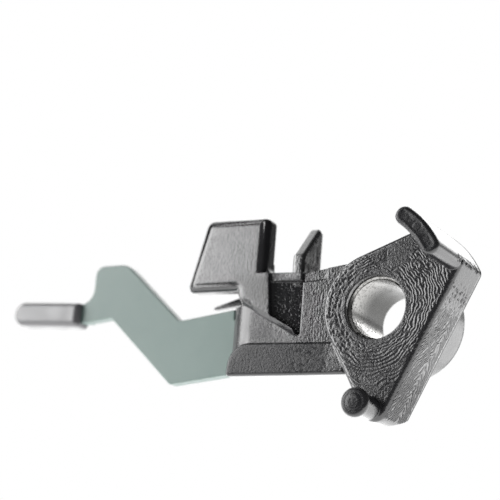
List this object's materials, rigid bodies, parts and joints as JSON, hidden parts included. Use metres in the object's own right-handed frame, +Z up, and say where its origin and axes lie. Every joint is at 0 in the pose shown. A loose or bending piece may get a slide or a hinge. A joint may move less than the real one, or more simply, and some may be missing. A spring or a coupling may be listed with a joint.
{
  "type": "pivot lever",
  "caption": "Black moulded pivot lever with a sleeved bore, an arc-shaped lug, a headed drive pin and a tab, and a bent flat metal arm that ends in a grip.",
  "frame": {"origin": "on the axis of the bore, halfway along the bearing sleeve", "axes": "+Y runs back along the bore, away from the lug and the drive pin; +Z is up, towards the tab; the arm reaches out along -X"},
  "size_m": [0.0748, 0.0203, 0.0297],
  "materials": {
    "black_nylon": "moulded, leathery grain around the bore",
    "sleeve_steel": "turned and honed",
    "arm_paint": "satin grey-green coating",
    "grip_plastic": "smooth, slightly glossy"
  },
  "bodies": {
    "sleeve": {"bearing_sleeve": "sleeve_steel"},
    "lever": {"hub_moulding": "black_nylon", "lever_arm": "arm_paint", "end_grip": "grip_plastic"}
  },
  "joints": [
    {"name": "lever_turn", "type": "hinge", "parent": "sleeve", "child": "lever", "pos_m": [0, 0, 0], "axis": [0, 1, 0], "continuous": true}
  ]
}
